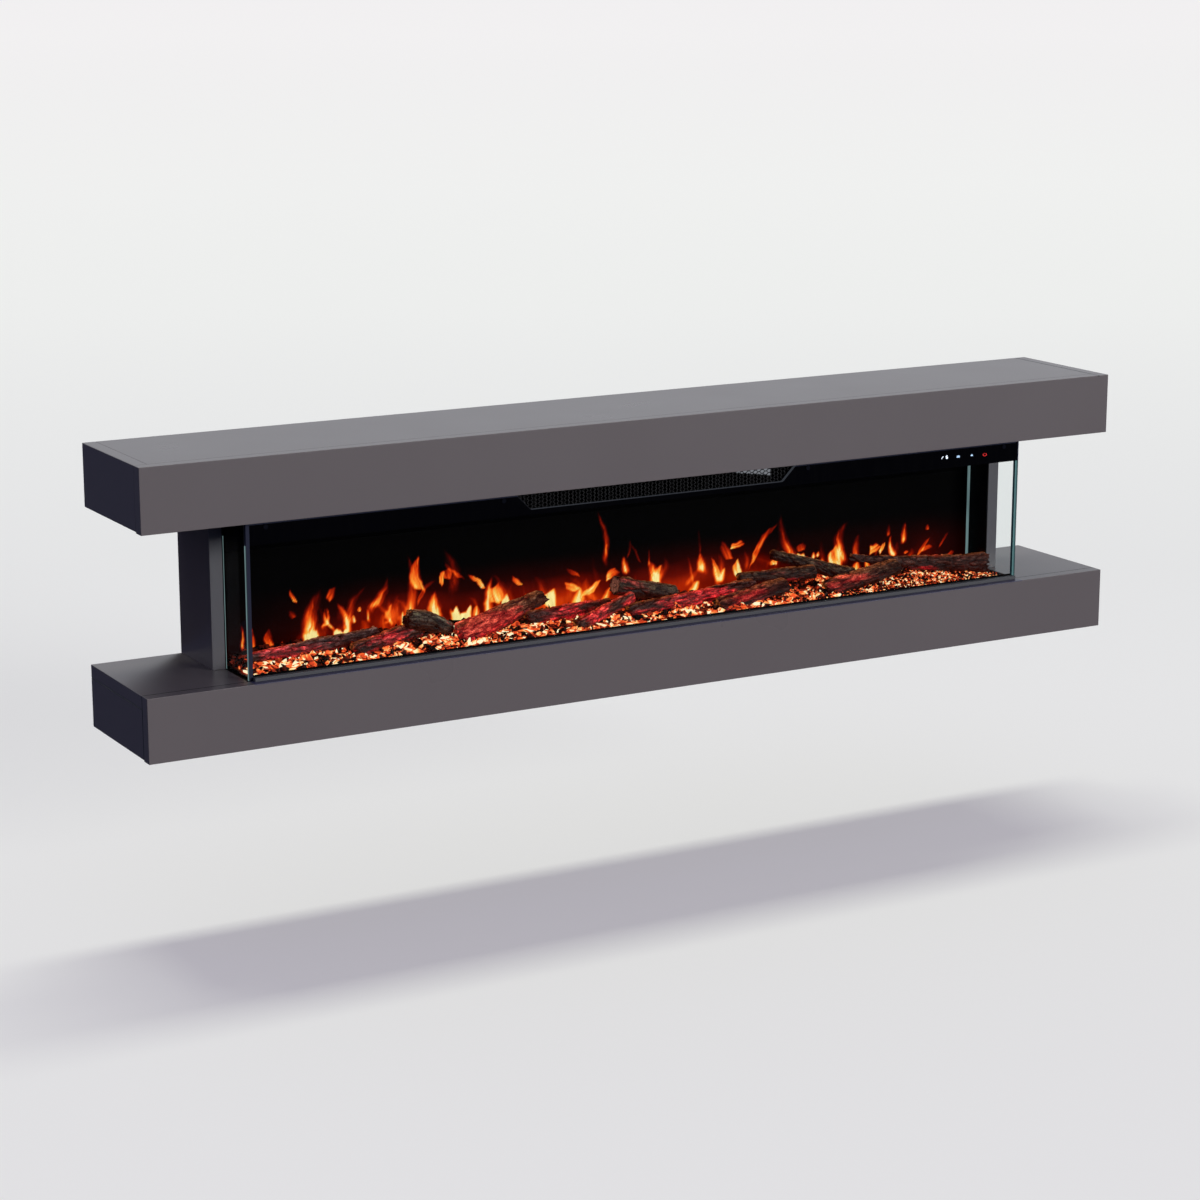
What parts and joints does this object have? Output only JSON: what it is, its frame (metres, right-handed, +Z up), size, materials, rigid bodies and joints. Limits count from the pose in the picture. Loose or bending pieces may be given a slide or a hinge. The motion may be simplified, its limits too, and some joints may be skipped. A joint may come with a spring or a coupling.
{
  "type": "electric fireplace",
  "caption": "Wall-hung electric fireplace: mantel and plinth beams around a glass-fronted fire with logs, glowing embers, a flame screen and a fan heater outlet.",
  "frame": {"origin": "on the wall plane, at the centre of the wall bracket's four screw holes, at mid-height of the suite", "axes": "+X along the beams to the viewer's right, +Y into the wall, +Z up"},
  "size_m": [1.86, 0.248, 0.4676],
  "materials": {
    "painted_board": "satin taupe-grey paint on fibreboard",
    "black_sheet": "matt black powder coat",
    "clear_glass": "clear float glass with polished edges and a black printed band",
    "screw_steel": "plated",
    "zinc_steel": "zinc plated, folded",
    "flame_acrylic": "smoked, lit from behind",
    "ember_resin": "translucent, lit from below",
    "log_resin": "moulded bark, hand painted",
    "bright_aluminium": "bright rolled",
    "motor_steel": "plated can",
    "black_nylon": "moulded",
    "circuit_board": "coated laminate"
  },
  "bodies": {
    "suite": {"back_rails": "painted_board", "case_back": "black_sheet", "case_floor": "black_sheet", "case_screws": "screw_steel", "case_sides": "black_sheet", "case_top_cover": "black_sheet", "column_screws": "screw_steel", "column_side_left": "painted_board", "column_side_right": "painted_board", "control_board": "circuit_board", "cord_gland": "black_nylon", "ember_bed": "ember_resin", "ember_chips": "ember_resin", "fan_cowl": "black_nylon", "fan_motor": "motor_steel", "flame_motor": "motor_steel", "flame_screen": "flame_acrylic", "front_ledge": "black_sheet", "glass_base_rail": "black_sheet", "glass_front": "clear_glass", "glass_left": "clear_glass", "glass_right": "clear_glass", "glass_screws": "screw_steel", "hanging_channel": "zinc_steel", "header_floor": "black_sheet", "heater_element": "bright_aluminium", "light_bars": "circuit_board", "log_cross_lower": "log_resin", "log_cross_upper": "log_resin", "log_cut_end": "log_resin", "log_far_left": "log_resin", "log_far_right": "log_resin", "log_left_front": "log_resin", "log_left_stub": "log_resin", "log_long_red": "log_resin", "log_middle_left": "log_resin", "log_right_split": "log_resin", "log_split_dark": "log_resin", "log_split_red": "log_resin", "log_upright_billet": "log_resin", "mantel_end_left": "painted_board", "mantel_end_right": "painted_board", "mantel_fascia": "painted_board", "mantel_top_board": "painted_board", "mantel_underside_boards": "painted_board", "outlet_grille": "black_sheet", "plinth_bottom_board": "painted_board", "plinth_end_left": "painted_board", "plinth_end_right": "painted_board", "plinth_fascia": "painted_board", "plinth_top_left": "painted_board", "plinth_top_right": "painted_board", "shaft_bearings": "black_nylon", "side_ledges": "black_sheet", "switch_housing": "black_nylon", "touch_display": "circuit_board", "wall_bracket": "zinc_steel"},
    "fan": {"fan_rotor": "bright_aluminium"},
    "flame": {"flame_spindle": "bright_aluminium"},
    "rocker": {"switch_rocker": "black_nylon"}
  },
  "joints": [
    {"name": "fan_spin", "type": "hinge", "parent": "suite", "child": "fan", "pos_m": [0, -0.1415, 0.13125], "axis": [1, 0, 0], "continuous": true},
    {"name": "flame_spin", "type": "hinge", "parent": "suite", "child": "flame", "pos_m": [0, -0.05, -0.14825], "axis": [1, 0, 0], "continuous": true},
    {"name": "power_rocker", "type": "hinge", "parent": "suite", "child": "rocker", "pos_m": [0.8, -0.06, -0.22917], "axis": [0, 1, 0], "range_deg": [-20, 0]}
  ]
}
